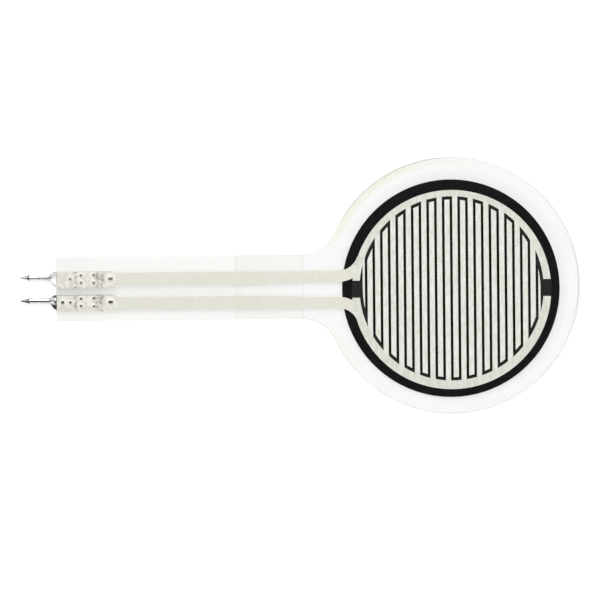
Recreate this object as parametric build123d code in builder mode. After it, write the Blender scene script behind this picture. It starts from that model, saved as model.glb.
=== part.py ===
from build123d import *
import os
from math import asin, ceil, degrees, pi, sqrt

# A round force sensing resistor with a tail and two solder tabs, in millimetres.
# The origin is the centre of the sensing disc on its rear face. +X runs from the tail to the disc, +Y
# across the sensor and +Z out of the face that is pressed. An adhesive ring holds two clear films apart.
# The rear film carries a black resistive disc and the front one two silver combs, and pressure brings
# the prints together.

# Films and adhesives, in outline
disc_radius = 13.95
tail_width = 6.97
tail_reach = 43.1
neck_radius = 4.0
rear_film_reach = 23.5
rear_adhesive_reach = 16.3
ring_width = 3.05
vent_width = 0.8

# The rear film and the adhesives on it lie a little to one side of the front film
rear_shift_x = -0.11
rear_shift_y = 0.07

# Thicknesses
rear_adhesive_thickness = 0.05
film_thickness = 0.125
spacer_thickness = 0.15
ink_thickness = 0.02

# The prints lie a little off the middle of the films
print_shift_x = -0.03
print_shift_y = -0.30
black_shift_x = -0.11
black_shift_y = -0.28
black_overlap = 0.96
opening_clearance = 0.05
print_clearance = 0.02

# Silver combs, whose outer edge lies a little lower across the sensor than their inner edge
bus_width = 0.81
bus_outer_shift = -0.13
bus_end_gap = 1.86
finger_end_gap = 0.36
finger_pitch = 0.846
finger_gap = 0.29
least_finger = 0.15
trace_outer_edge = 2.04
trace_width_at_disc = 1.22
trace_width_in_tail = 1.42
trace_bend_radius = 2.2
trace_taper_from = 22.0
trace_taper_to = 14.5

# Printed pads that the tabs are crimped to
pad_length = 6.75
pad_width = 1.76
pad_corner = 0.50
pad_margin = 0.05

# Solder tabs, stamped and rolled from one strip of sheet
pin_pitch = 2.54
pin_radius = 0.33
pin_length = 2.25
seam_gap = 0.12
nib_length = 0.88
nib_radius = 0.25
nib_tip_radius = 0.07
nib_plug = 0.20
sheet_thickness = 0.20
plate_width = 1.60
plate_length = 6.55
plate_corner = 0.50
plate_offset = -0.18
funnel_length = 0.75
funnel_steps = 6

# Crimp barbs, lanced from windows in the plate, pushed through the film and bent over on top of it
barb_thickness = 0.11
barb_lift = 0.07
barb_bend = 0.05
barb_point = 0.07
barb_window = 0.42
barb_clearance = 0.03
# Barbs whose tips lean in from the film's end, then those that lean out towards it, each with its distance
# from that end, its place across the tab, its width and how far it leans. The lower tab has one more.
inward_barbs = ((2.58, -0.39, 0.21, 0.26), (2.58, 0.39, 0.21, 0.26))
outward_barbs = (
    (1.62, 0.0, 0.21, 0.26),
    (4.20, -0.44, 0.21, 0.26),
    (4.20, 0.44, 0.21, 0.26),
    (6.12, 0.0, 0.27, 0.46),
)
lower_tab_barb = (0.56, 0.0, 0.27, 0.30)

# Heights of the layers, worked out from the thicknesses
rear_film_bottom = rear_adhesive_thickness
rear_film_top = rear_film_bottom + film_thickness
front_film_bottom = rear_film_top + spacer_thickness
front_film_top = front_film_bottom + film_thickness
silver_bottom = front_film_bottom - ink_thickness
tab_bottom = silver_bottom - sheet_thickness
clinch_height = front_film_top - tab_bottom

# Places that follow from the sizes
opening_radius = disc_radius - ring_width
black_radius = opening_radius + black_overlap
bus_outer_radius = opening_radius - opening_clearance
bus_inner_radius = bus_outer_radius - bus_width
bus_middle_radius = bus_outer_radius - bus_width / 2
finger_tip_radius = bus_inner_radius - finger_end_gap
finger_width = finger_pitch - finger_gap
fingers_each_side = ceil((finger_tip_radius - least_finger + finger_width / 2) / finger_pitch - 0.5)
finger_count = 2 * fingers_each_side
bend_centre_y = trace_outer_edge + trace_bend_radius
bend_centre_x = -sqrt((bus_outer_radius + trace_bend_radius) ** 2 - bend_centre_y**2)
tail_end = -tail_reach
sheet_middle_radius = pin_radius - sheet_thickness / 2
rolled_width = 2 * pi * sheet_middle_radius - seam_gap
full_turn = degrees(rolled_width / sheet_middle_radius)
pin_start = -funnel_length
pin_end = pin_start - pin_length


def sensor_outline(reach):
    """The disc and its tail with filleted necks, cut square at a distance behind the disc's centre."""
    with BuildSketch() as outline:
        Circle(disc_radius)
        with Locations((tail_end / 2, 0)):
            Rectangle(tail_reach, tail_width)
        fillet(outline.vertices().group_by(Axis.X)[1], neck_radius)
        if reach < tail_reach:
            with Locations(((disc_radius - reach) / 2, 0)):
                Rectangle(disc_radius + reach, 2 * disc_radius, mode=Mode.INTERSECT)
    return outline.sketch


def rear_outline(reach):
    """The outline of a layer that is laminated to the rear film."""
    return Pos(rear_shift_x, rear_shift_y) * sensor_outline(reach)


def bus_and_fingers(first, outer_shift):
    """The half ring of an upper comb with every second finger, counted from the first."""
    with BuildSketch() as zone:
        Circle(bus_middle_radius)
        Rectangle(2 * finger_tip_radius, 2 * bus_outer_radius, mode=Mode.INTERSECT)
        Rectangle(
            2 * bus_outer_radius, bus_outer_radius, align=(Align.CENTER, Align.MAX), mode=Mode.SUBTRACT
        )
        Circle(finger_tip_radius)
    columns = [(i - (finger_count - 1) / 2) * finger_pitch for i in range(first, finger_count, 2)]
    with BuildSketch() as fingers:
        with Locations(*[(x, 0) for x in columns]):
            Rectangle(finger_width, 2 * bus_outer_radius)
        add(zone.sketch, mode=Mode.INTERSECT)
    with BuildSketch() as comb:
        with Locations((0, outer_shift)):
            Circle(bus_outer_radius)
        Circle(bus_inner_radius, mode=Mode.SUBTRACT)
        with Locations((0, bus_end_gap / 2)):
            Rectangle(
                2 * bus_outer_radius, bus_outer_radius, align=(Align.CENTER, Align.MIN), mode=Mode.INTERSECT
            )
        add(fingers.sketch)
    return comb.sketch


def pad_and_trace():
    """The pad, the trace along the tail and the bend that leads it into the bus of an upper comb."""
    pad_start = tail_end + pad_margin - print_shift_x
    pad_end = pad_start + pad_length
    tail_inner_edge = trace_outer_edge - trace_width_in_tail
    disc_inner_edge = trace_outer_edge - trace_width_at_disc
    bend_outer_radius = trace_bend_radius + trace_width_at_disc
    sweep = 90 - degrees(asin(bend_centre_y / (bus_outer_radius + trace_bend_radius)))
    centre = (bend_centre_x, bend_centre_y)
    with BuildSketch() as trace:
        with BuildLine():
            inside = CenterArc(centre, trace_bend_radius, -90, sweep)
            outside = CenterArc(centre, bend_outer_radius, -90, sweep)
            Line(inside @ 1, outside @ 1)
            Polyline(
                outside @ 0,
                (-trace_taper_to, disc_inner_edge),
                (-trace_taper_from, tail_inner_edge),
                (pad_end - pad_corner, tail_inner_edge),
                (pad_end - pad_corner, trace_outer_edge),
                inside @ 0,
            )
        make_face()
        Circle(bus_inner_radius, mode=Mode.SUBTRACT)
    with BuildSketch() as pad:
        with Locations((pad_start, pin_pitch / 2)):
            Rectangle(pad_length, pad_width, align=(Align.MIN, Align.CENTER))
        fillet(pad.vertices().group_by(Axis.X)[-1], pad_corner)
        add(trace.sketch)
    return pad.sketch


def barbs(side):
    """Each barb of a tab: its place from the film end and across the tab, width, reach and direction."""
    inward = inward_barbs if side > 0 else (*inward_barbs, lower_tab_barb)
    return [(*barb, 1) for barb in inward] + [(*barb, -1) for barb in outward_barbs]


def barb_slots(side):
    """The slots that one tab's barbs cut, about the film's end and the tab's middle."""
    with BuildSketch() as slots:
        for x, y, width, reach, lean in barbs(side):
            with Locations((x + lean * barb_thickness / 2, y)):
                Rectangle(barb_thickness + 2 * barb_clearance, width + 2 * barb_clearance)
    return slots.sketch


def tab_middle(side):
    """Where the middle of a tab's plate lies across the sensor."""
    return side * pin_pitch / 2 + plate_offset


def electrode(side):
    """One silver comb with its trace and pad, on the underside of the front film."""
    with BuildSketch() as pattern:
        add(bus_and_fingers(0 if side > 0 else 1, side * bus_outer_shift))
        add(pad_and_trace())
        if side < 0:
            mirror(about=Plane.XZ, mode=Mode.REPLACE)
    with BuildPart() as comb:
        with BuildSketch(Plane.XY.offset(silver_bottom)):
            with Locations((print_shift_x, print_shift_y)):
                add(pattern.sketch)
            with Locations((tail_end, tab_middle(side))):
                add(barb_slots(side), mode=Mode.SUBTRACT)
        extrude(amount=ink_thickness)
    return comb


def rolled_section(step):
    """The tab's sheet across one step of the funnel, curled up about its middle, flat at the film's end."""
    share = step / funnel_steps
    width = plate_width + (rolled_width - plate_width) * share
    middle = (pin_start * share, -plate_offset * share, sheet_thickness / 2)
    with BuildSketch(Plane(origin=middle, x_dir=(0, 1, 0), z_dir=(1, 0, 0))) as section:
        if step == 0:
            Rectangle(width, sheet_thickness)
        else:
            turn = full_turn * share
            radius = degrees(width / turn)
            with BuildLine():
                outer = CenterArc((0, radius), radius + sheet_thickness / 2, -90 - turn / 2, turn)
                inner = CenterArc((0, radius), radius - sheet_thickness / 2, -90 - turn / 2, turn)
                Line(outer @ 0, inner @ 0)
                Line(outer @ 1, inner @ 1)
            make_face()
    return section.sketch


def solder_tab(side):
    """A crimp tab about the film's end and its plate's middle: plate, barbs, funnel, seamed pin and nib."""
    with BuildPart() as tab:
        with BuildSketch() as plate:
            Rectangle(plate_length, plate_width, align=(Align.MIN, Align.CENTER))
            fillet(plate.vertices().group_by(Axis.X)[-1], plate_corner)
            for x, y, width, reach, lean in barbs(side):
                with Locations((x + lean * barb_window / 2, y)):
                    Rectangle(barb_window, width + 2 * barb_clearance, mode=Mode.SUBTRACT)
        extrude(amount=sheet_thickness)
        for x, y, width, reach, lean in barbs(side):
            with BuildSketch(Plane(origin=(x, y, 0), x_dir=(lean, 0, 0), z_dir=(0, -lean, 0))) as profile:
                with BuildLine():
                    Polyline(
                        (0, 0),
                        (0, clinch_height + barb_lift),
                        (reach, clinch_height + barb_lift / 3),
                        (reach, clinch_height),
                        (barb_thickness, clinch_height),
                        (barb_thickness, 0),
                        close=True,
                    )
                make_face()
                fillet(profile.vertices().group_by(Axis.Y)[-1], barb_bend)
            extrude(amount=width / 2, both=True)
        tips = tab.edges().filter_by(Axis.Z).filter_by(lambda edge: edge.center().Z > clinch_height)
        chamfer(tips, barb_point)
        loft([rolled_section(step) for step in range(funnel_steps + 1)], ruled=True)
        with BuildSketch(Plane.YZ.offset(pin_start)):
            with Locations((-plate_offset, pin_radius)):
                Circle(pin_radius)
                Circle(pin_radius - sheet_thickness, mode=Mode.SUBTRACT)
                Rectangle(seam_gap, 2 * pin_radius, align=(Align.CENTER, Align.MIN), mode=Mode.SUBTRACT)
        extrude(amount=-pin_length)
        with BuildSketch(Plane(origin=(0, -plate_offset, pin_radius), x_dir=(1, 0, 0), z_dir=(0, -1, 0))):
            with BuildLine():
                Polyline(
                    (pin_end + nib_plug, 0),
                    (pin_end + nib_plug, pin_radius - sheet_thickness),
                    (pin_end, pin_radius - sheet_thickness),
                    (pin_end, nib_radius),
                    (pin_end - nib_length, nib_tip_radius),
                    (pin_end - nib_length, 0),
                    close=True,
                )
            make_face()
        revolve(axis=Axis((0, -plate_offset, pin_radius), (1, 0, 0)))
    return tab.part.moved(Location((tail_end, tab_middle(side), tab_bottom)))


# Rear adhesive, which fixes the disc to whatever it is mounted on
with BuildPart() as rear_adhesive:
    add(rear_outline(rear_adhesive_reach))
    extrude(amount=rear_adhesive_thickness)

# Rear film, whose tail ends part of the way along the front film's
with BuildPart() as resistive_film:
    with BuildSketch(Plane.XY.offset(rear_film_bottom)):
        add(rear_outline(rear_film_reach))
    extrude(amount=film_thickness)

# Black resistive disc, printed on the rear film
with BuildPart() as resistive_ink:
    with BuildSketch(Plane.XY.offset(rear_film_top)):
        with Locations((black_shift_x, black_shift_y)):
            Circle(black_radius)
    extrude(amount=ink_thickness)

# Spacer ring, open over the combs, with a vent along the tail and room for both prints
with BuildPart() as spacer_adhesive:
    with BuildSketch(Plane.XY.offset(rear_film_top)):
        add(rear_outline(rear_film_reach))
        with Locations((print_shift_x, print_shift_y + bus_outer_shift)):
            Circle(opening_radius, mode=Mode.SUBTRACT)
        with Locations((print_shift_x, print_shift_y)):
            Rectangle(tail_reach, vent_width, align=(Align.MAX, Align.CENTER), mode=Mode.SUBTRACT)
    extrude(amount=spacer_thickness)
    with BuildSketch(Plane.XY.offset(rear_film_top)):
        with Locations((black_shift_x, black_shift_y)):
            Circle(black_radius + print_clearance)
    extrude(amount=ink_thickness, mode=Mode.SUBTRACT)
    with BuildSketch(Plane.XY.offset(silver_bottom)) as channels:
        with Locations((print_shift_x, print_shift_y)):
            add(pad_and_trace())
        mirror(about=Plane.XZ.offset(-print_shift_y))
        offset(amount=print_clearance)
    extrude(amount=ink_thickness, mode=Mode.SUBTRACT)

# Front film, with the slots that the crimp barbs cut
with BuildPart() as electrode_film:
    with BuildSketch(Plane.XY.offset(front_film_bottom)):
        add(sensor_outline(tail_reach))
        for side in (1, -1):
            with Locations((tail_end, tab_middle(side))):
                add(barb_slots(side), mode=Mode.SUBTRACT)
    extrude(amount=film_thickness)

upper_comb = electrode(1)
lower_comb = electrode(-1)

os.makedirs("parts", exist_ok=True)
pieces = {
    "rear_adhesive": rear_adhesive.part,
    "resistive_film": resistive_film.part,
    "resistive_ink": resistive_ink.part,
    "spacer_adhesive": spacer_adhesive.part,
    "upper_comb": upper_comb.part,
    "lower_comb": lower_comb.part,
    "electrode_film": electrode_film.part,
    "upper_solder_tab": solder_tab(1),
    "lower_solder_tab": solder_tab(-1),
}
for name, piece in pieces.items():
    piece.label = name
    export_step(piece, f"parts/{name}.step")
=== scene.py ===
# %% [markdown]
# # A force sensing resistor, dressed in Blender
# The sensor is a sandwich of printed clear films. The solids come from the CAD model and give every place
# and size. This script gives them the look of polyester, printed silver, carbon ink and tinned sheet, on a
# plain white floor under soft light. All lengths are in metres, in the CAD model's own frame.

import math

import bmesh
import bpy
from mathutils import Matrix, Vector, noise


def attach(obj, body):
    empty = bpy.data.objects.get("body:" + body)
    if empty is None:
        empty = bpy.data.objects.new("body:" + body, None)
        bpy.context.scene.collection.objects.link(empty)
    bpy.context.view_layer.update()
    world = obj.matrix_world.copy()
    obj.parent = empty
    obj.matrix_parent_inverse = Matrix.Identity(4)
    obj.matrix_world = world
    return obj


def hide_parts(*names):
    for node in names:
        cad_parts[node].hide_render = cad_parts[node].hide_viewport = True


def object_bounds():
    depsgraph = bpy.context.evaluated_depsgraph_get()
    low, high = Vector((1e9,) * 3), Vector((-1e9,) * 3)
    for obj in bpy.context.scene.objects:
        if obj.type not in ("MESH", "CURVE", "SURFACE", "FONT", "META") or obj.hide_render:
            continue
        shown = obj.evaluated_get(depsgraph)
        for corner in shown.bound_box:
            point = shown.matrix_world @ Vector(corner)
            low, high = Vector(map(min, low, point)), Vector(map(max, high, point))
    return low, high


MM = 0.001

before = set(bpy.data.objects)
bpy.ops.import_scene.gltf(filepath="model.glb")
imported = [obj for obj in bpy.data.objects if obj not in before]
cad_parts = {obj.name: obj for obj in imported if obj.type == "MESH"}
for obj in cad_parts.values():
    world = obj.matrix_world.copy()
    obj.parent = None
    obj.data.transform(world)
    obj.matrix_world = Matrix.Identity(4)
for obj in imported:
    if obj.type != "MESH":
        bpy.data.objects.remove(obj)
cad_low, cad_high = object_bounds()
cad_size = [round((high - low) / MM, 2) for low, high in zip(cad_low, cad_high)]
print("CAD box in mm:", cad_size)

# %% [markdown]
# ## Scene
# Standard keeps a colour as it is written. Light passes eight clear faces at the disc's rim before it
# reaches the floor, and more at a cut edge. That is more than Cycles follows by itself, so the limit is
# raised.

# %% Scene
MOST_CLEAR_FACES = 32

scene = bpy.context.scene
scene.view_settings.view_transform = "Standard"
scene.cycles.transparent_max_bounces = MOST_CLEAR_FACES
print("clear faces followed:", scene.cycles.transparent_max_bounces)

# %% [markdown]
# ## Camera
# The photograph looks straight down. A long lens from far away keeps the outline free of perspective, as a
# product photograph does. An orthographic camera would do so too, but a lens keeps a trace of depth, as a
# real one does. The sensor lies turned by about half a degree, so the camera is turned the other way.

# %% Where the camera stands
PHOTO_PIXELS = 600
PIXELS_PER_MM = 9.17
ORIGIN_PIXEL = (451.75, 285.6)
TURN = math.radians(0.53)
LENS = 200.0
SENSOR_WIDTH = 36.0

frame_width = PHOTO_PIXELS / PIXELS_PER_MM * MM
across = (PHOTO_PIXELS / 2 - ORIGIN_PIXEL[0]) / PIXELS_PER_MM * MM
upward = (ORIGIN_PIXEL[1] - PHOTO_PIXELS / 2) / PIXELS_PER_MM * MM
aim_x = across * math.cos(TURN) + upward * math.sin(TURN)
aim_y = upward * math.cos(TURN) - across * math.sin(TURN)
camera_height = frame_width * LENS / SENSOR_WIDTH
print(f"camera {camera_height / MM:.0f} mm up, over x {aim_x / MM:.2f} y {aim_y / MM:.2f} mm")

# %% Camera
NEAREST_SEEN = 0.01

camera_data = bpy.data.cameras.new("camera")
camera_data.lens = LENS
camera_data.sensor_width = SENSOR_WIDTH
camera_data.clip_start = NEAREST_SEEN
camera = bpy.data.objects.new("camera", camera_data)
camera.location = (aim_x, aim_y, camera_height)
camera.rotation_euler = (0, 0, -TURN)
scene.collection.objects.link(camera)
scene.camera = camera
print(f"picture {frame_width / MM:.1f} mm wide")

# %% [markdown]
# ## Node helpers
# Every material below is a small program made of nodes. These helpers place a node, set its values and give
# back its result, so that a material reads as a few lines of plain steps.

# %% Placing a node
def add_node(tree, kind, inputs, **settings):
    """A node with its settings, and with its inputs given as sockets or values by name or number."""
    node = tree.nodes.new(kind)
    for name, value in settings.items():
        setattr(node, name, value)
    for key, value in inputs.items():
        if isinstance(value, bpy.types.NodeSocket):
            tree.links.new(value, node.inputs[key])
        else:
            node.inputs[key].default_value = value
    return node


# %% Numbers and vectors
def add_math(tree, operation, *values, clamp=False):
    """The result of a math node."""
    node = add_node(tree, "ShaderNodeMath", dict(enumerate(values)), operation=operation, use_clamp=clamp)
    return node.outputs[0]


def add_vector_math(tree, operation, *values):
    """A vector math node, which may give out a vector or a value."""
    return add_node(tree, "ShaderNodeVectorMath", dict(enumerate(values)), operation=operation)


def add_range(tree, value, low, high, to_low=0.0, to_high=1.0):
    """A value mapped from one range to another, held at both ends."""
    inputs = {"Value": value, "From Min": low, "From Max": high, "To Min": to_low, "To Max": to_high}
    return add_node(tree, "ShaderNodeMapRange", inputs).outputs["Result"]


# %% Mixing
def add_colour(tree, factor, first, second):
    """A colour between two, by a factor. Each colour is a socket or three numbers."""
    inputs = {"Factor": factor}
    for name, colour in (("A", first), ("B", second)):
        inputs[name] = (*colour, 1) if isinstance(colour, tuple) else colour
    return add_node(tree, "ShaderNodeMix", inputs, data_type="RGBA").outputs["Result"]


def add_value(tree, factor, first, second):
    """A value between two, by a factor."""
    inputs = {"Factor": factor, "A": first, "B": second}
    return add_node(tree, "ShaderNodeMix", inputs, data_type="FLOAT").outputs["Result"]


# %% Joining masks
def both(tree, *masks):
    """The product of masks or values."""
    product = masks[0]
    for mask in masks[1:]:
        product = add_math(tree, "MULTIPLY", product, mask)
    return product


def either(tree, *masks):
    """The largest of masks."""
    largest = masks[0]
    for mask in masks[1:]:
        largest = add_math(tree, "MAXIMUM", largest, mask)
    return largest


# %% [markdown]
# Most effects sit at a certain place on the sensor, so the next helpers measure places in object
# coordinates. An image texture could hold the marks too, but a place in millimetres is easier to read and
# to change.

# %% Object coordinates
def object_vector(tree, stretch=(1, 1, 1)):
    """Object coordinates, stretched along the sensor's axes."""
    coordinates = tree.nodes.new("ShaderNodeTexCoord").outputs["Object"]
    return add_node(tree, "ShaderNodeMapping", {"Vector": coordinates, "Scale": stretch}).outputs["Vector"]


def object_axes(tree):
    """Object coordinates as separate sockets."""
    return add_node(tree, "ShaderNodeSeparateXYZ", {0: object_vector(tree)}).outputs


# %% Distances
def distance_from(tree, x, y):
    """How far away a place is from a point of the sensor, seen from above."""
    offset = add_vector_math(tree, "SUBTRACT", object_vector(tree), (x * MM, y * MM, 0))
    flat = add_vector_math(tree, "MULTIPLY", offset.outputs["Vector"], (1, 1, 0))
    return add_vector_math(tree, "LENGTH", flat.outputs["Vector"]).outputs["Value"]


def towards(tree, angle):
    """How far a place lies from the disc's centre in a direction, given in degrees."""
    direction = (math.cos(math.radians(angle)), math.sin(math.radians(angle)), 0)
    return add_vector_math(tree, "DOT_PRODUCT", object_vector(tree), direction).outputs["Value"]


# %% Masks by place
def beyond(tree, value, start, end):
    """Zero up to a start and one from an end on, in millimetres."""
    return add_range(tree, value, start * MM, end * MM)


def band(tree, value, middle, half_width, softness):
    """One within a band about a middle, in millimetres, and zero outside it, with soft sides."""
    away = add_math(tree, "ABSOLUTE", add_math(tree, "SUBTRACT", value, middle * MM))
    return beyond(tree, away, half_width + softness, half_width - softness)


# %% Noise
# Noise seldom leaves this span, so stretching the span to run from zero to one gives full contrast
NOISE_SPAN = (0.35, 0.65)


def add_noise(tree, features_per_mm, detail=3.0, roughness=0.5, stretch=(1, 1, 1)):
    """Noise with its scale given as features to the millimetre."""
    inputs = {
        "Vector": object_vector(tree, stretch),
        "Scale": features_per_mm / MM,
        "Detail": detail,
        "Roughness": roughness,
    }
    return add_node(tree, "ShaderNodeTexNoise", inputs).outputs["Fac"]


# %% [markdown]
# A material holds one Principled shader. A node group holds an effect that more than one material uses, and
# gives out plain values, so that the material keeps its own shader.

# %% Materials
def new_material(name):
    """A material with one Principled shader, its node tree and that shader."""
    material = bpy.data.materials.new(name)
    material.use_nodes = True
    return material, material.node_tree, material.node_tree.nodes["Principled BSDF"]


def add_bump(tree, shader, height, depth):
    """Relief on a shader, with its depth given in millimetres."""
    bump = add_node(tree, "ShaderNodeBump", {"Height": height, "Distance": depth * MM})
    tree.links.new(bump.outputs["Normal"], shader.inputs["Normal"])


# %% Groups
def new_group(name, inputs, outputs):
    """A shader node group with float inputs, given with their first values, and float outputs."""
    group = bpy.data.node_groups.new(name, "ShaderNodeTree")
    for label, value in inputs.items():
        socket = group.interface.new_socket(name=label, in_out="INPUT", socket_type="NodeSocketFloat")
        socket.default_value = value
    for label in outputs:
        group.interface.new_socket(name=label, in_out="OUTPUT", socket_type="NodeSocketFloat")
    return group, group.nodes.new("NodeGroupInput"), group.nodes.new("NodeGroupOutput")


def place_group(tree, group, values):
    """A group node in a material, with its values set."""
    node = tree.nodes.new("ShaderNodeGroup")
    node.node_tree = group
    for label, value in values.items():
        node.inputs[label].default_value = value
    return node


# %% [markdown]
# ## Light
# Two large area lamps make the soft light of a studio table. Sun lamps would be simpler, but their shadows
# are too hard for such thin layers. The key lamp stands beyond the top of the picture, so that shadows fall
# a little towards the bottom.

# %% Lamps
KEY_PLACE = (-0.14, 0.40, 0.42)
KEY_SIZE = 0.36
KEY_POWER = 2.6
FILL_PLACE = (0.25, -0.30, 0.50)
FILL_SIZE = 0.40
FILL_POWER = 0.6


def area_lamp(name, place, size, power):
    """A square area lamp at a place, turned to face the middle of the picture."""
    data = bpy.data.lights.new(name, "AREA")
    data.shape = "SQUARE"
    data.size = size
    data.energy = power
    lamp = bpy.data.objects.new(name, data)
    lamp.location = place
    towards_sensor = Vector((aim_x, 0, 0)) - Vector(place)
    lamp.rotation_euler = towards_sensor.to_track_quat("-Z", "Y").to_euler()
    scene.collection.objects.link(lamp)
    print(name, f"{towards_sensor.length / MM:.0f} mm from the sensor")


area_lamp("key_lamp", KEY_PLACE, KEY_SIZE, KEY_POWER)
area_lamp("fill_lamp", FILL_PLACE, FILL_SIZE, FILL_POWER)

# %% [markdown]
# The world fills in from all sides. Straight overhead it is dark, as it is where a camera and its ceiling
# are, and that keeps black ink black under a glossy film. The camera itself sees plain white.

# %% World
SIDE_STRENGTH = 0.68
OVERHEAD_STRENGTH = 0.07
OVERHEAD_FROM = 0.90
OVERHEAD_TO = 0.98

world = bpy.data.worlds.new("studio")
scene.world = world
world.use_nodes = True
world_tree = world.node_tree
direction = world_tree.nodes.new("ShaderNodeTexCoord")
height = add_node(world_tree, "ShaderNodeSeparateXYZ", {0: direction.outputs["Generated"]})
strength = add_range(
    world_tree, height.outputs["Z"], OVERHEAD_FROM, OVERHEAD_TO, SIDE_STRENGTH, OVERHEAD_STRENGTH
)
world_path = world_tree.nodes.new("ShaderNodeLightPath")
shown = add_value(world_tree, world_path.outputs["Is Camera Ray"], strength, 1.0)
background = world_tree.nodes["Background"]
background.inputs["Color"].default_value = (1, 1, 1, 1)
world_tree.links.new(shown, background.inputs["Strength"])
print("world strength", SIDE_STRENGTH, "from the sides and", OVERHEAD_STRENGTH, "overhead")

# %% [markdown]
# ## Floor
# The floor is a pale matt sheet. It adds a little of its own brightness to what the camera, a reflection or
# a clear piece sees, so that it is white where it is fully lit and still shows the sensor's soft shadow.
# More light from the lamps would make it white too, but would also bleach the sensor.

# %% Floor sheet
FLOOR_REACH = 2.0
FLOOR_GAP = 0.02

floor_bmesh = bmesh.new()
bmesh.ops.create_grid(floor_bmesh, x_segments=1, y_segments=1, size=FLOOR_REACH)
bmesh.ops.translate(floor_bmesh, verts=floor_bmesh.verts, vec=(0, 0, -FLOOR_GAP * MM))
floor_mesh = bpy.data.meshes.new("floor")
floor_bmesh.to_mesh(floor_mesh)
floor_bmesh.free()
floor = bpy.data.objects.new("floor", floor_mesh)
scene.collection.objects.link(floor)
print("floor", FLOOR_GAP, "mm under the sensor")

# %% Floor finish
FLOOR_GREY = 0.30
FLOOR_ROUGHNESS = 0.9
FLOOR_OWN_LIGHT = 0.78

floor_material, floor_tree, floor_shader = new_material("floor")
floor_shader.inputs["Base Color"].default_value = (FLOOR_GREY, FLOOR_GREY, FLOOR_GREY, 1)
floor_shader.inputs["Roughness"].default_value = FLOOR_ROUGHNESS
floor_shader.inputs["Specular IOR Level"].default_value = 0.0
floor_shader.inputs["Emission Color"].default_value = (1, 1, 1, 1)
floor_path = floor_tree.nodes.new("ShaderNodeLightPath").outputs
floor_seen = either(
    floor_tree, floor_path["Is Camera Ray"], floor_path["Is Glossy Ray"], floor_path["Is Transmission Ray"]
)
floor_glow = both(floor_tree, floor_seen, FLOOR_OWN_LIGHT)
floor_tree.links.new(floor_glow, floor_shader.inputs["Emission Strength"])
floor.data.materials.append(floor_material)
print("floor grey", FLOOR_GREY, "and own light", FLOOR_OWN_LIGHT)

# %% [markdown]
# ## Shared effects
# Two finishes need the same small effects, and each effect is a node group. Film and adhesive carry cloudy
# smears, which vary their gloss.

# %% Smears
SMEARS_PER_MM = 0.30
SMEARS_DETAIL = 4.0
SMEARS_SPAN = (0.35, 0.70)

smears_group, smears_in, smears_out = new_group("smears", {"Lowest": 0.05, "Highest": 0.15}, ("Roughness",))
smears_noise = add_noise(smears_group, SMEARS_PER_MM, SMEARS_DETAIL)
smears_share = add_range(smears_group, smears_noise, *SMEARS_SPAN)
smears_roughness = add_value(
    smears_group, smears_share, smears_in.outputs["Lowest"], smears_in.outputs["Highest"]
)
smears_group.links.new(smears_roughness, smears_out.inputs["Roughness"])
print(f"smears about {1 / SMEARS_PER_MM:.1f} mm across")

# %% [markdown]
# Screen-printed ink keeps a faint trace of the screen's threads, about eighty to the centimetre, and of the
# solid grains in it. The threads are two crossed sine waves, and the grains are fine noise.

# %% Print relief
THREADS_PER_MM = 8.0
GRAINS_PER_MM = 14.0
GRAINS_DETAIL = 2.0
SPECKLES_PER_MM = 5.0
SPECKLES_DETAIL = 4.0
SPECKLES_ROUGHNESS = 0.65

print_group, print_in, print_out = new_group("print_relief", {"Grain": 0.5}, ("Height", "Speckle"))
print_axes = object_axes(print_group)
thread_angle = 2 * math.pi * THREADS_PER_MM / MM
thread_waves = [
    add_math(print_group, "SINE", both(print_group, print_axes[axis], thread_angle)) for axis in ("X", "Y")
]
threads = add_range(print_group, both(print_group, *thread_waves), -1.0, 1.0)
grain = add_noise(print_group, GRAINS_PER_MM, GRAINS_DETAIL)
print_height = add_math(print_group, "MULTIPLY_ADD", grain, print_in.outputs["Grain"], threads)
print_group.links.new(print_height, print_out.inputs["Height"])
speckle_noise = add_noise(print_group, SPECKLES_PER_MM, SPECKLES_DETAIL, SPECKLES_ROUGHNESS)
print_group.links.new(add_range(print_group, speckle_noise, *NOISE_SPAN), print_out.inputs["Speckle"])
print("node groups:", [group.name for group in bpy.data.node_groups])

# %% [markdown]
# ## Clear film and adhesive
# Polyester film lets nearly everything through and mirrors a few parts in a hundred, more at a low angle. A
# glass shader would bend light at every face of the sandwich and need many samples, so a Fresnel node gives
# that share to a mirroring shader and the rest to a transparent one with a slight tint. The inner side of a
# face mirrors nothing here, which keeps the prints under the film clear. The adhesive mirrors almost
# nothing, because film covers it on both sides.

# %% Clear materials
MIRROR_GREY = (0.97, 0.97, 0.97, 1)
SMOOTHEST = 0.6
ROUGHEST = 1.6


def clear_material(name, ior, mirror_share, roughness):
    """A clear layer that mirrors by Fresnel on its outer side, and the colour socket of its tint."""
    material, tree, shader = new_material(name)
    shader.inputs["Base Color"].default_value = MIRROR_GREY
    shader.inputs["Metallic"].default_value = 1.0
    span = {"Lowest": roughness * SMOOTHEST, "Highest": roughness * ROUGHEST}
    smears = place_group(tree, smears_group, span)
    tree.links.new(smears.outputs["Roughness"], shader.inputs["Roughness"])
    fresnel = add_node(tree, "ShaderNodeFresnel", {"IOR": ior}).outputs["Fac"]
    backfacing = tree.nodes.new("ShaderNodeNewGeometry").outputs["Backfacing"]
    outer_side = add_math(tree, "SUBTRACT", 1.0, backfacing)
    share = add_math(tree, "MULTIPLY", both(tree, fresnel, outer_side), mirror_share, clamp=True)
    clear = tree.nodes.new("ShaderNodeBsdfTransparent")
    mix = add_node(tree, "ShaderNodeMixShader", {0: share, 1: clear.outputs[0], 2: shader.outputs[0]})
    tree.links.new(mix.outputs[0], tree.nodes["Material Output"].inputs["Surface"])
    return material, tree, clear.inputs["Color"]


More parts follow.
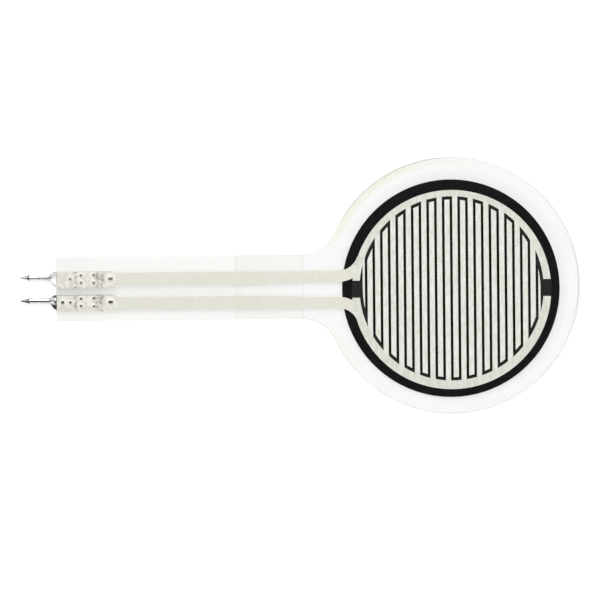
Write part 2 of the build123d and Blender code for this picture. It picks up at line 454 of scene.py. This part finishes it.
# %% Films and adhesive
FILM_IOR = 1.57
FILM_ROUGHNESS = 0.08
ADHESIVE_IOR = 1.47
ADHESIVE_ROUGHNESS = 0.3
BONDED_MIRROR_SHARE = 0.3
ADHESIVE_MIRROR_SHARE = 0.05
REAR_FILM_TINT = (0.998, 0.998, 0.998, 1)

front_film_material, film_tree, film_tint = clear_material("clear_film", FILM_IOR, 1.0, FILM_ROUGHNESS)
rear_film_material, _, rear_tint = clear_material(
    "bonded_film", FILM_IOR, BONDED_MIRROR_SHARE, FILM_ROUGHNESS
)
rear_tint.default_value = REAR_FILM_TINT
adhesive_material, adhesive_tree, adhesive_tint = clear_material(
    "adhesive", ADHESIVE_IOR, ADHESIVE_MIRROR_SHARE, ADHESIVE_ROUGHNESS
)
print("clear materials:", front_film_material.name, rear_film_material.name, adhesive_material.name)

# %% [markdown]
# The front film is tinted a little darker and warmer over the tail than over the disc, as painted shade of
# the raised tail. Painted shade greys it more between the two traces, and a painted shadow of the tab
# plates greys it between the tabs, most of all at the tail's end, with a little painted shade over the last
# few millimetres towards the tabs. A tint acts on both faces of the film, so small steps from white are
# enough.

# %% Front film tint and painted shade
DISC_TINT = (0.968, 0.968, 0.968)
TAIL_SHADE_TINT = (0.956, 0.956, 0.948)
PAINTED_SHADE_TINT = (0.849, 0.850, 0.835)
TAB_SHADOW_INNER_SHARE = 0.82
TRACE_SHADE_SHARE = 0.18
BESIDE_TABS_SHARE = 0.135

# Bands across and along the tail, each as its middle, half its width and its softness
BETWEEN_TRACES = (-0.30, 0.42, 0.10)
ALONG_TABS = (-41.0, 4.0, 1.4)
ALONG_TRACES = (-31.0, 7.6, 1.5)

# Places along the tail where a change starts and ends
TAB_SHADOW_EASES = (-40.6, -39.4)
BESIDE_TABS = (-35.5, -41.0)
TAILWARD = (-16.0, -21.0)

film_axes = object_axes(film_tree)
along_film = film_axes["X"]
between_traces = band(film_tree, film_axes["Y"], *BETWEEN_TRACES)
# Painted shadow of the tab plates, and painted shade between the traces and near the tabs
tab_shadow_depth = add_value(film_tree, beyond(film_tree, along_film, *TAB_SHADOW_EASES), 1.0, TAB_SHADOW_INNER_SHARE)
tab_shadow = both(film_tree, between_traces, band(film_tree, along_film, *ALONG_TABS), tab_shadow_depth)
trace_shade = both(film_tree, between_traces, band(film_tree, along_film, *ALONG_TRACES), TRACE_SHADE_SHARE)
shade_beside_tabs = both(film_tree, beyond(film_tree, along_film, *BESIDE_TABS), BESIDE_TABS_SHARE)
painted_shade = either(film_tree, tab_shadow, trace_shade, shade_beside_tabs)
# The tail's darker tint is painted shade of the raised tail
film_with_tail_shade = add_colour(film_tree, beyond(film_tree, along_film, *TAILWARD), DISC_TINT, TAIL_SHADE_TINT)
film_tree.links.new(add_colour(film_tree, painted_shade, film_with_tail_shade, PAINTED_SHADE_TINT), film_tint)
print("front film nodes:", len(film_tree.nodes))

# %% [markdown]
# The adhesive has yellowed where air reaches it: at the rim of the disc, most of all on the side towards
# the tail, and along the tail's edges. It is a little yellower all over the tail, where only the spacer is
# left.

# %% Yellowed adhesive
FRESH_ADHESIVE = (0.9994, 0.9994, 0.9990)
TAIL_ADHESIVE = (0.9955, 0.9955, 0.9890)
YELLOWED_ADHESIVE = (0.992, 0.994, 0.967)
YELLOWED_TAIL_SHARE = 0.8
YELLOWED_RIM = (13.85, 0.55, 0.35)
YELLOWED_SIDE = 150
SIDE_SPAN = (2.7, 13.6)
OFF_TAIL = (3.6, 6.2)
TAIL_EDGES = (2.7, 3.3)
TAIL_EDGES_START = (-16.2, -16.8)
TAIL_START = (-16.4, -16.6)

adhesive_axes = object_axes(adhesive_tree)
along_tail = adhesive_axes["X"]
from_axis = add_math(adhesive_tree, "ABSOLUTE", adhesive_axes["Y"])
disc_rim = both(
    adhesive_tree,
    band(adhesive_tree, distance_from(adhesive_tree, 0, 0), *YELLOWED_RIM),
    beyond(adhesive_tree, towards(adhesive_tree, YELLOWED_SIDE), *SIDE_SPAN),
    beyond(adhesive_tree, from_axis, *OFF_TAIL),
)
tail_edges = both(
    adhesive_tree,
    beyond(adhesive_tree, from_axis, *TAIL_EDGES),
    beyond(adhesive_tree, along_tail, *TAIL_EDGES_START),
    YELLOWED_TAIL_SHARE,
)
on_tail = beyond(adhesive_tree, along_tail, *TAIL_START)
tail_colour = add_colour(adhesive_tree, on_tail, FRESH_ADHESIVE, TAIL_ADHESIVE)
yellowed = either(adhesive_tree, disc_rim, tail_edges)
aged_colour = add_colour(adhesive_tree, yellowed, tail_colour, YELLOWED_ADHESIVE)
print("yellowed most towards", YELLOWED_SIDE, "degrees")

# %% [markdown]
# Beside the black disc it is painted greyer, as the painted shadow of the disc. It looks greyer too along
# the cut ends of the two adhesive layers, which show as faint lines across the tail and the neck.

# %% Greyed adhesive and painted shadow
GREY_LINE_AND_SHADOW_TINT = (0.972, 0.972, 0.971)
SPACER_END = (-23.47, 0.14, 0.05)
SPACER_END_SHARE = 0.58
REAR_ADHESIVE_END = (-16.27, 0.12, 0.05)
REAR_END_SHARE = 0.45
INK_CENTRE = (0.10, 0.05)
BESIDE_INK = (12.9, 12.1)
INK_SHADOW_SHARE = 0.45

from_ink_centre = distance_from(adhesive_tree, *INK_CENTRE)
# Grey lines at the adhesive ends, and a painted shadow beside the black disc
end_lines_and_ink_shadow = either(
    adhesive_tree,
    both(adhesive_tree, band(adhesive_tree, along_tail, *SPACER_END), SPACER_END_SHARE),
    both(adhesive_tree, band(adhesive_tree, along_tail, *REAR_ADHESIVE_END), REAR_END_SHARE),
    both(adhesive_tree, beyond(adhesive_tree, from_ink_centre, *BESIDE_INK), INK_SHADOW_SHARE),
)
adhesive_tree.links.new(add_colour(adhesive_tree, end_lines_and_ink_shadow, aged_colour, GREY_LINE_AND_SHADOW_TINT), adhesive_tint)
print("adhesive nodes:", len(adhesive_tree.nodes))

# %% [markdown]
# A die cuts the films, and the cut edge scatters light where the flat face doesn't. It looks like a thin
# grey line from above and a pale one from the side. On two sides of the disc the line is painted darker, as
# painted shade from the way the light falls there. The cut faces get a material of their own, which is
# simpler than a mask that finds them on the film's material.

# %% Painted shade on two sides
SIDE_REACH = (11.2, 13.6)

# Each side of the disc where the edge line is painted darker as shade, as its direction in degrees and how
# much darker it is
SHADED_EDGE_SIDES = ((0, 0.72), (120, 1.1))


def shaded_edge_sides(tree):
    """A mask of the two sides of the disc where the edge line is painted darker as shade."""
    masks = [
        both(tree, beyond(tree, towards(tree, angle), *SIDE_REACH), share) for angle, share in SHADED_EDGE_SIDES
    ]
    return either(tree, *masks)


# %% Cut edges
EDGE_DARK = (0.06, 0.065, 0.06)
EDGE_LIGHT = (0.16, 0.165, 0.16)
EDGE_GRAINS_PER_MM = 3.0
EDGE_GRAINS_DETAIL = 2.0
EDGE_ROUGHNESS = 0.45
DISC_STARTS = (-19.0, -15.0)
STRETCHES_PER_MM = 0.15
STRETCHES_DETAIL = 1.0
FAINTEST_STRETCH = 0.8


def cut_edge_material(name, tail_alpha, disc_alpha, shaded_side_alpha):
    """The cut edge of a clear layer, milky along the tail and round the disc, and painted darker as shade
    at two sides of the disc.
    """
    material, tree, shader = new_material(name)
    grains = add_noise(tree, EDGE_GRAINS_PER_MM, EDGE_GRAINS_DETAIL)
    tree.links.new(add_colour(tree, grains, EDGE_DARK, EDGE_LIGHT), shader.inputs["Base Color"])
    on_disc = beyond(tree, object_axes(tree)["X"], *DISC_STARTS)
    evenly = add_value(tree, on_disc, tail_alpha, disc_alpha)
    # Painted shade darkens the edge line at two sides of the disc
    alpha = either(tree, evenly, both(tree, on_disc, shaded_edge_sides(tree), shaded_side_alpha))
    stretch_noise = add_noise(tree, STRETCHES_PER_MM, STRETCHES_DETAIL)
    stretches = add_range(tree, stretch_noise, *NOISE_SPAN, FAINTEST_STRETCH, 1.0)
    tree.links.new(both(tree, alpha, stretches), shader.inputs["Alpha"])
    shader.inputs["Roughness"].default_value = EDGE_ROUGHNESS
    print(name, "alpha", tail_alpha, disc_alpha, shaded_side_alpha)
    return material


film_edge_material = cut_edge_material("film_cut_edge", tail_alpha=0.22, disc_alpha=0.38, shaded_side_alpha=0.75)
bonded_edge_material = cut_edge_material(
    "bonded_cut_edge", tail_alpha=0.03, disc_alpha=0.10, shaded_side_alpha=0.38
)
adhesive_edge_material = cut_edge_material(
    "adhesive_cut_edge", tail_alpha=0.04, disc_alpha=0.12, shaded_side_alpha=0.20
)

# %% [markdown]
# ## Carbon ink
# The carbon ink is matt black. It is deepest round the edge, where the adhesive wets it, and between the
# fingers, where little light comes in. In the two gaps of the bus, where air lies over it, it is painted a
# dark grey, as a painted reflection from the film's underside and the dry ink. Each black runs from a deep
# to a less deep shade by the print's speckle.

# %% Carbon ink
OPENING_CENTRE = (-0.03, -0.43)
GAPS_START = (9.55, 9.75)
WETTED_START = (10.87, 10.93)
FINGER_BLACK = ((0.0015, 0.0015, 0.0015), (0.004, 0.004, 0.004))
GAP_REFLECTION_GREY = ((0.014, 0.013, 0.013), (0.022, 0.021, 0.021))
WETTED_BLACK = ((0.001, 0.001, 0.001), (0.003, 0.003, 0.003))
CARBON_GRAIN = 1.5
CARBON_ROUGHNESS = 0.6
CARBON_SPECULAR = 0.1
CARBON_RELIEF = 0.001

carbon_material, carbon_tree, carbon_shader = new_material("carbon_ink")
carbon_print = place_group(carbon_tree, print_group, {"Grain": CARBON_GRAIN})
finger_black, gap_reflection_grey, wetted_black = [
    add_colour(carbon_tree, carbon_print.outputs["Speckle"], *shades)
    for shades in (FINGER_BLACK, GAP_REFLECTION_GREY, WETTED_BLACK)
]
from_opening = distance_from(carbon_tree, *OPENING_CENTRE)
# A painted reflection lifts the black in the gaps of the bus
dry_black_with_reflection = add_colour(carbon_tree, beyond(carbon_tree, from_opening, *GAPS_START), finger_black, gap_reflection_grey)
wetted = beyond(carbon_tree, from_opening, *WETTED_START)
carbon_tree.links.new(
    add_colour(carbon_tree, wetted, dry_black_with_reflection, wetted_black), carbon_shader.inputs["Base Color"]
)
carbon_shader.inputs["Roughness"].default_value = CARBON_ROUGHNESS
carbon_shader.inputs["Specular IOR Level"].default_value = CARBON_SPECULAR
add_bump(carbon_tree, carbon_shader, carbon_print.outputs["Height"], CARBON_RELIEF)
print("carbon ink nodes:", len(carbon_tree.nodes))

# %% [markdown]
# ## Silver ink
# The silver ink is a pale warm grey. Its flakes lie in a dull binder, so it is nearly matt and only
# slightly metallic, and keeps its colour from every side. It is mottled in streaks along the fingers, and
# calmer off the disc, where adhesive backs it.

# %% Silver's mottle
SILVER_DARK = (0.759, 0.747, 0.668)
SILVER_LIGHT = (0.945, 0.931, 0.877)
SILVER_GRAIN = 1.0
STREAKS_PER_MM = 2.6
STREAKS_DETAIL = 2.0
STREAK_STRETCH = (1, 0.35, 1)
STREAK_SHARE = 0.6
PRINT_CENTRE = (-0.03, -0.30)
OFF_DISC = (10.8, 11.2)
CALM_CONTRAST = 0.35

silver_material, silver_tree, silver_shader = new_material("silver_ink")
silver_print = place_group(silver_tree, print_group, {"Grain": SILVER_GRAIN})
streak_noise = add_noise(silver_tree, STREAKS_PER_MM, STREAKS_DETAIL, stretch=STREAK_STRETCH)
streaks = add_range(silver_tree, streak_noise, *NOISE_SPAN)
mottle = add_value(silver_tree, STREAK_SHARE, silver_print.outputs["Speckle"], streaks)
calm_mottle = add_math(silver_tree, "MULTIPLY_ADD", mottle, CALM_CONTRAST, (1 - CALM_CONTRAST) / 2)
from_print = distance_from(silver_tree, *PRINT_CENTRE)
silver_shade = add_value(silver_tree, beyond(silver_tree, from_print, *OFF_DISC), mottle, calm_mottle)
mottled_silver = add_colour(silver_tree, silver_shade, SILVER_DARK, SILVER_LIGHT)
print("streaks", round(1 / STREAKS_PER_MM / STREAK_STRETCH[1], 1), "mm long")

# %% [markdown]
# The bus is darker than the fingers, because it lies along the edge of the adhesive, and the traces take on
# a little of the adhesive's yellow at the neck.

# %% Silver's tones
BUS_RING = (10.50, 0.52, 0.26)
BUS_DARKENING = 0.097
DARKENED_SILVER = (0.03, 0.08, 0.0)
NECK_START = (10.9, 11.1)
NECK_END = (20, 15)
NECK_SHARE = 0.10
NECK_SHADE = (0.50, 0.49, 0.13)

on_bus = both(silver_tree, band(silver_tree, from_print, *BUS_RING), BUS_DARKENING)
bus_toned = add_colour(silver_tree, on_bus, mottled_silver, DARKENED_SILVER)
at_neck = both(
    silver_tree,
    beyond(silver_tree, from_print, *NECK_START),
    beyond(silver_tree, from_print, *NECK_END),
    NECK_SHARE,
)
neck_toned = add_colour(silver_tree, at_neck, bus_toned, NECK_SHADE)
print(f"bus from {BUS_RING[0] - BUS_RING[1]:.2f} to {BUS_RING[0] + BUS_RING[1]:.2f} mm from the centre")

# %% [markdown]
# The crimping tool presses two shallow grooves across each pad, which the relief leaves out, so their shade
# is painted as two broken dark bands. A band along the tail gives their place, and noise breaks them up.

# %% Painted groove shade and finish
FIRST_GROOVE_SHADE = (-41.0, 0.16, 0.08)
SECOND_GROOVE_SHADE = (-38.35, 0.50, 0.14)
GROOVE_SHADE_COLOUR = (0.44, 0.43, 0.38)
BREAKS_PER_MM = 2.6
BREAKS_DETAIL = 4.0
BREAKS_SPAN = (0.42, 0.62)
SILVER_METALLIC = 0.05
SILVER_ROUGHNESS = 0.5
SILVER_RELIEF = 0.0008

along_silver = object_axes(silver_tree)["X"]
first_groove_shade = band(silver_tree, along_silver, *FIRST_GROOVE_SHADE)
second_groove_shade = band(silver_tree, along_silver, *SECOND_GROOVE_SHADE)
shade_breaks = add_range(silver_tree, add_noise(silver_tree, BREAKS_PER_MM, BREAKS_DETAIL), *BREAKS_SPAN)
# Painted shade of the two crimp grooves
groove_shade = both(silver_tree, either(silver_tree, first_groove_shade, second_groove_shade), shade_breaks)
silver_tree.links.new(
    add_colour(silver_tree, groove_shade, neck_toned, GROOVE_SHADE_COLOUR), silver_shader.inputs["Base Color"]
)
silver_shader.inputs["Metallic"].default_value = SILVER_METALLIC
silver_shader.inputs["Roughness"].default_value = SILVER_ROUGHNESS
add_bump(silver_tree, silver_shader, silver_print.outputs["Height"], SILVER_RELIEF)
print("silver ink nodes:", len(silver_tree.nodes))

# %% [markdown]
# ## Tinned sheet
# The tabs are bright tin over rolled sheet, and handling dulls it in patches. The tips of the barbs are
# painted dark, as painted shade for the small holes that they come through. Every stain and every painted
# light or shade is a mask on one colour, put on in the order from the plate to the nib.

# %% Tin and barbs
TIN_LIGHT = (0.88, 0.88, 0.87)
TIN_DARK = (0.66, 0.66, 0.64)
BARB_SHADE_COLOUR = (0.22, 0.21, 0.18)
BARB_TOPS = (0.450, 0.456)


def tin_and_barbs(tree, axes, patches, on_plate):
    """The colour of tin with its duller patches, and of the barbs' tips on the plate, painted dark as
    shade.
    """
    colour = add_colour(tree, patches, TIN_LIGHT, TIN_DARK)
    # The barbs' tips get painted shade
    shaded_barb_tops = both(tree, beyond(tree, axes["Z"], *BARB_TOPS), on_plate)
    return add_colour(tree, shaded_barb_tops, colour, BARB_SHADE_COLOUR)


# %% [markdown]
# Painted shade darkens the seam of each pin. The nib is a darker grey, and its shoulder, painted with the
# shade at the tube's end, is the darkest part of it.

# %% Seam and nib
PIN_BEGINS = (-43.6, -43.8)
PIN_ENDS = (-46.0, -45.95)
SEAM_SOFTNESS = 0.02
NIB_BEGINS = (-45.97, -46.04)
SHOULDER_ENDS = (-46.24, -46.16)
SHOULDER_SHADE_COLOUR = (0.10, 0.10, 0.10)


def shade_seam(tree, colour, axes, away, finish):
    """The colour with painted shade along the pin's seam."""
    along_pin = both(tree, beyond(tree, axes["X"], *PIN_BEGINS), beyond(tree, axes["X"], *PIN_ENDS))
    reach = finish["seam_shade_reach"]
    # Painted shade along the seam
    seam = both(tree, beyond(tree, away, reach + SEAM_SOFTNESS, reach - SEAM_SOFTNESS), along_pin)
    return add_colour(tree, seam, colour, finish["seam_shade_colour"])


def darker_nib(tree, colour, axes, finish):
    """The colour with a darker grey nib and painted shade at the shoulder before its tip."""
    # Painted shade at the nib's shoulder
    shoulder_shade = beyond(tree, axes["X"], *SHOULDER_ENDS)
    nib_and_shoulder_shade = add_colour(tree, shoulder_shade, finish["nib_colour"], SHOULDER_SHADE_COLOUR)
    return add_colour(tree, beyond(tree, axes["X"], *NIB_BEGINS), colour, nib_and_shoulder_shade)


# %% [markdown]
# The funnel's sides turn up towards the light. The upper funnel's sides are painted lighter as a painted
# highlight, and the lower one's darker as painted shade. A thin line of painted shade follows the edge of
# the turned-up sheet. The funnel flares away from the pin and leans a little, so the line's place is the
# distance from the pin's axis, less the flare.

# %% Painted light on the funnel
FLANKS = (0.30, 0.52)
PIN_START = -43.85
FUNNEL_LEAN = 0.24
FUNNEL_FLARE = 0.75
RIM_LINE = (0.20, 0.27)


def paint_funnel_light(tree, colour, along, aside, away, funnel, finish):
    """The colour with the funnel's flanks painted in the finish's flank colour, a highlight on the upper
    tab and shade on the lower, and a painted shade line along the edge of its sheet.
    """
    # The flanks get a painted highlight on the upper tab and painted shade on the lower
    painted_flanks = both(tree, funnel, beyond(tree, away, *FLANKS))
    colour = add_colour(tree, painted_flanks, colour, finish["flank_painted_light"])
    from_pin = add_math(tree, "SUBTRACT", along, PIN_START * MM)
    leaning = add_math(tree, "MULTIPLY_ADD", from_pin, FUNNEL_LEAN, aside)
    from_edge = add_math(tree, "MULTIPLY_ADD", from_pin, -FUNNEL_FLARE, add_math(tree, "ABSOLUTE", leaning))
    # Painted shade line along the edge of the turned-up sheet
    rim_shade = both(tree, funnel, beyond(tree, from_edge, *RIM_LINE))
    return add_colour(tree, rim_shade, colour, finish["rim_shade_colour"])


# %% [markdown]
# The rolling leaves fine lines along the strip, which a bump from stretched noise gives. The tin is a plain
# metal on the pin. Film covers the plate, and the upper funnel reflects the pale floor all round, so both
# get a smaller metallic share.

# %% Tinned sheet
FUNNEL = (-43.45, 0.40, 0.12)
PLATE_BEGINS = (-43.1, -43.0)
PATCHES_PER_MM = 2.2
PATCHES_DETAIL = 3.0
PATCHES_SPAN = (0.4, 0.7)
TIN_SMOOTHEST = 0.14
TIN_DULLEST = 0.34
LINES_PER_MM = 22.0
LINES_DETAIL = 2.0
LINES_STRETCH = (0.08, 1, 1)
LINES_DEPTH = 0.002


def tinned_material(finish):
    """Tinned sheet whose stains and painted light and shade follow its own pin."""
    material, tree, shader = new_material(finish["name"])
    axes = object_axes(tree)
    along = axes["X"]
    aside = add_math(tree, "SUBTRACT", axes["Y"], finish["pin_middle"] * MM)
    away = add_math(tree, "ABSOLUTE", aside)
    patches = add_range(tree, add_noise(tree, PATCHES_PER_MM, PATCHES_DETAIL), *PATCHES_SPAN)
    on_plate = beyond(tree, along, *PLATE_BEGINS)
    funnel = band(tree, along, *FUNNEL)

    colour = tin_and_barbs(tree, axes, patches, on_plate)
    colour = shade_seam(tree, colour, axes, away, finish)
    colour = paint_funnel_light(tree, colour, along, aside, away, funnel, finish)
    colour = darker_nib(tree, colour, axes, finish)
    tree.links.new(colour, shader.inputs["Base Color"])

    dullness = add_value(tree, patches, TIN_SMOOTHEST, TIN_DULLEST)
    roughness = add_value(tree, funnel, dullness, finish["funnel_roughness"])
    tree.links.new(roughness, shader.inputs["Roughness"])
    metallic = add_value(tree, funnel, 1.0, finish["funnel_metal"])
    tree.links.new(add_value(tree, on_plate, metallic, finish["plate_metal"]), shader.inputs["Metallic"])
    lines = add_noise(tree, LINES_PER_MM, LINES_DETAIL, stretch=LINES_STRETCH)
    add_bump(tree, shader, lines, LINES_DEPTH)
    print(finish["name"], "nodes:", len(tree.nodes))
    return material


# %% Upper and lower tab
# The upper tab's pale funnel flanks are a painted highlight
UPPER_FINISH = {
    "name": "tinned_sheet",
    "pin_middle": 1.27,
    "seam_shade_reach": 0.07,
    "seam_shade_colour": (0.14, 0.14, 0.135),
    "plate_metal": 0.25,
    "funnel_metal": 0.15,
    "funnel_roughness": 0.50,
    "flank_painted_light": (0.97, 0.97, 0.96),
    "rim_shade_colour": (0.26, 0.26, 0.25),
    "nib_colour": (0.40, 0.40, 0.39),
}
# The lower tab's dark funnel flanks, rim line and seam are painted shade
LOWER_FINISH = {
    "name": "shaded_sheet",
    "pin_middle": -1.27,
    "seam_shade_reach": 0.09,
    "seam_shade_colour": (0.08, 0.08, 0.077),
    "plate_metal": 0.90,
    "funnel_metal": 1.0,
    "funnel_roughness": 0.25,
    "flank_painted_light": (0.07, 0.07, 0.065),
    "rim_shade_colour": (0.07, 0.07, 0.065),
    "nib_colour": (0.20, 0.20, 0.20),
}
tin_materials = {"upper": tinned_material(UPPER_FINISH), "lower": tinned_material(LOWER_FINISH)}

# %% [markdown]
# ## Pieces from solids
# Each piece below starts as a copy of its CAD solid, whose mesh is loose triangles. The copy's doubles are
# merged and its flat faces joined, so that a bevel finds whole edges and not the seams between triangles.

# %% Copying a solid
DOUBLES = 1e-7
FLAT_ANGLE = math.radians(0.2)


def copy_of_node(node):
    """A bmesh with a CAD node's mesh, its doubles merged and its flat faces joined."""
    source = bmesh.new()
    source.from_mesh(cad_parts[node].data)
    bmesh.ops.remove_doubles(source, verts=source.verts, dist=DOUBLES)
    bmesh.ops.dissolve_limit(
        source, angle_limit=FLAT_ANGLE, verts=source.verts, edges=source.edges, delimit={"NORMAL"}
    )
    return source


# %% Rounding edges
def round_edges(source, edges, offset, segments):
    """Edges rounded over, or cut off if there is one segment."""
    bmesh.ops.bevel(
        source,
        geom=edges,
        offset=offset * MM,
        offset_type="OFFSET",
        segments=segments,
        profile=0.5,
        affect="EDGES",
        clamp_overlap=True,
        material=-1,
    )


# %% Making a piece
def make_piece(name, source, node, materials):
    """An object from a bmesh with the given materials, attached to the root body, which stands in for a CAD
    node and hides it.
    """
    mesh = bpy.data.meshes.new(name)
    source.to_mesh(mesh)
    source.free()
    for material in materials:
        mesh.materials.append(material)
    piece = bpy.data.objects.new(name, mesh)
    scene.collection.objects.link(piece)
    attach(piece, "root")
    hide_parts(node)
    print(name, len(mesh.polygons), "faces")


# %% [markdown]
# ## Films and adhesives
# The CAD solids touch face to face, and two faces in one place confuse a renderer when one of them is
# clear. So each clear layer is thinner than its solid by two thousandths of a millimetre on both faces. The
# films' cut edges are rounded a little, as a die leaves them. The adhesives stay sharp, because a blade
# parts them.

# %% Thinning
FACE_GAP = 0.002
FLAT = 0.99


def is_flat(face):
    """Whether a face lies flat, facing up or down."""
    return abs(face.normal.z) > FLAT


def thin_layer(source):
    """Moves the flat faces of a layer inwards."""
    shifts = {}
    for face in source.faces:
        if is_flat(face):
            for vert in face.verts:
                shifts[vert] = -math.copysign(FACE_GAP * MM, face.normal.z)
    for vert, shift in shifts.items():
        vert.co.z += shift


# %% Clear layers
FILM_EDGE_ROUNDING = 0.06
FILM_EDGE_SEGMENTS = 2
CUT_EDGE_SLOT = 1


def is_rim(edge):
    """Whether an edge lies between a flat face and a cut one."""
    return len(edge.link_faces) == 2 and sum(is_flat(face) for face in edge.link_faces) == 1


def clear_layer(name, node, materials, rounding=0.0):
    """A clear layer in the place of a CAD node, a little thinner, with its cut edges rounded if asked."""
    source = copy_of_node(node)
    thin_layer(source)
    if rounding:
        round_edges(source, [edge for edge in source.edges if is_rim(edge)], rounding, FILM_EDGE_SEGMENTS)
    for face in source.faces:
        if not is_flat(face):
            face.material_index = CUT_EDGE_SLOT
    make_piece(name, source, node, materials)


front_film_finish = (front_film_material, film_edge_material)
rear_film_finish = (rear_film_material, bonded_edge_material)
adhesive_finish = (adhesive_material, adhesive_edge_material)
clear_layer("front_film", "electrode_film", front_film_finish, FILM_EDGE_ROUNDING)
clear_layer("rear_film", "resistive_film", rear_film_finish, FILM_EDGE_ROUNDING)
clear_layer("spacer_ring", "spacer_adhesive", adhesive_finish)
clear_layer("mounting_adhesive", "rear_adhesive", adhesive_finish)

# %% [markdown]
# ## Solder tabs
# The tabs keep their solid's form. A copy gets the small rounding that stamping and rolling leave, and
# smooth shading round its curves. A bevel can't be wider than the shortest edge that it meets, so slivers
# left by the solid's triangles are merged first, and only the edges with room round them are rounded.

# %% Smooth shading
SMOOTH_UP_TO = math.radians(40)


def is_sharp(edge):
    """Whether the faces beside an edge meet at a sharp angle."""
    return edge.calc_face_angle(0) > SMOOTH_UP_TO


def shade_smooth(source):
    """Smooth shading, with sharp edges left sharp."""
    for face in source.faces:
        face.smooth = True
    for edge in source.edges:
        edge.smooth = not is_sharp(edge)


# %% Slivers and room
ROOM_FOR_ROUNDING = 0.04


def merge_slivers(source, size):
    """Merges what is nearer together than a size in millimetres."""
    bmesh.ops.remove_doubles(source, verts=source.verts, dist=size * MM)
    bmesh.ops.dissolve_degenerate(source, edges=source.edges, dist=size * MM)


def has_room(edge):
    """Whether every edge that meets this one is long enough for it to be rounded."""
    near = [other for vert in edge.verts for other in vert.link_edges]
    return min(other.calc_length() for other in near) > ROOM_FOR_ROUNDING * MM


# %% Tabs
TAB_EDGE_ROUNDING = 0.015
TAB_EDGE_SEGMENTS = 1
SLIVER = 0.002

for side in ("upper", "lower"):
    tab_source = copy_of_node(side + "_solder_tab")
    merge_slivers(tab_source, SLIVER)
    sharp = [edge for edge in tab_source.edges if is_sharp(edge)]
    roomy = [edge for edge in sharp if has_room(edge)]
    print(side, "tab:", len(roomy), "of", len(sharp), "sharp edges rounded")
    round_edges(tab_source, roomy, TAB_EDGE_ROUNDING, TAB_EDGE_SEGMENTS)
    merge_slivers(tab_source, SLIVER / 2)
    shade_smooth(tab_source)
    make_piece(side + "_tab", tab_source, side + "_solder_tab", (tin_materials[side],))

# %% [markdown]
# ## Silver combs
# Where a barb comes through, the silver rises in a small hill round it, and the pads are a little uneven
# all over. The comb is a copy of its solid, cut along a fine grid at the pad, and the hills are raised in
# that grid. Their slopes catch the key lamp, which a bump in the material alone would not show from the
# side.

# %% Hills
FILM_END = -43.1
TAB_MIDDLE = {"upper": 1.09, "lower": -1.45}

# Each hill's place from the film's end and across the tab, its height and its spread, in millimetres
SMALL_HILLS = (
    (1.48, 0.0, 0.060, 0.15),
    (2.68, -0.39, 0.075, 0.16),
    (2.68, 0.39, 0.075, 0.16),
    (4.05, -0.44, 0.070, 0.16),
    (4.05, 0.44, 0.070, 0.16),
    (5.90, 0.0, 0.110, 0.20),
)
LOWER_TAB_HILL = (0.72, 0.0, 0.085, 0.18)

# Each sort of unevenness as its height in millimetres and its features to the millimetre
UNEVENNESS = ((0.012, 2.2), (0.004, 4.3))


def relief_height(x, y, hills, middle):
    """The height in metres that a pad's surface is raised by at a place."""
    from_end = x / MM - FILM_END
    from_middle = y / MM - middle
    height = 0.0
    for size, fineness in UNEVENNESS:
        height += size * noise.noise((from_end * fineness, from_middle * fineness, middle))
    for place, side_place, rise, spread in hills:
        apart = (from_end - place) ** 2 + (from_middle - side_place) ** 2
        height += rise * math.exp(-apart / (2 * spread**2))
    return height * MM


# %% [markdown]
# The grid's cuts are made with bisect_plane, which leaves the comb's outline and its holes as they are. The
# first cut parts the pad from the trace, and the others only take the faces on the pad's side of it.

# %% Grid
PAD_REACH = 6.7
PAD_HALF_WIDTH = 1.1
PAD_STEP = 0.11


def cut_grid(source, middle):
    """Cuts the pad's faces of a comb along a square grid, from the trace to the film's end."""
    pad_end = FILM_END + PAD_REACH
    columns = [pad_end - PAD_STEP * i for i in range(int(PAD_REACH / PAD_STEP))]
    rows = [middle - PAD_HALF_WIDTH + PAD_STEP * i for i in range(int(2 * PAD_HALF_WIDTH / PAD_STEP))]
    cuts = [((x * MM, 0, 0), (1, 0, 0)) for x in columns] + [((0, y * MM, 0), (0, 1, 0)) for y in rows]
    for index, (place, normal) in enumerate(cuts):
        faces = [face for face in source.faces if index == 0 or face.calc_center_median().x < pad_end * MM]
        edges = {edge for face in faces for edge in face.edges}
        verts = {vert for face in faces for vert in face.verts}
        bmesh.ops.bisect_plane(
            source, geom=[*verts, *edges, *faces], dist=DOUBLES, plane_co=place, plane_no=normal
        )
    print(len(columns), "by", len(rows), "cuts in the pad")


# %% Combs
for side, hills in (("upper", SMALL_HILLS), ("lower", (*SMALL_HILLS, LOWER_TAB_HILL))):
    comb_source = copy_of_node(side + "_comb")
    cut_grid(comb_source, TAB_MIDDLE[side])
    for vert in comb_source.verts:
        if vert.co.x < (FILM_END + PAD_REACH - PAD_STEP / 2) * MM:
            vert.co.z += relief_height(vert.co.x, vert.co.y, hills, TAB_MIDDLE[side])
    shade_smooth(comb_source)
    make_piece(side + "_electrode", comb_source, side + "_comb", (silver_material,))

# %% [markdown]
# ## Black disc
# The disc is a plain flat print under clear film, and nothing of its form is missing in the CAD solid. So
# the node stays and only takes its finish.

# %% Black disc
black_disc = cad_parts["resistive_ink"]
black_disc.data.materials.clear()
black_disc.data.materials.append(carbon_material)
print("resistive_ink", len(black_disc.data.polygons), "triangles")
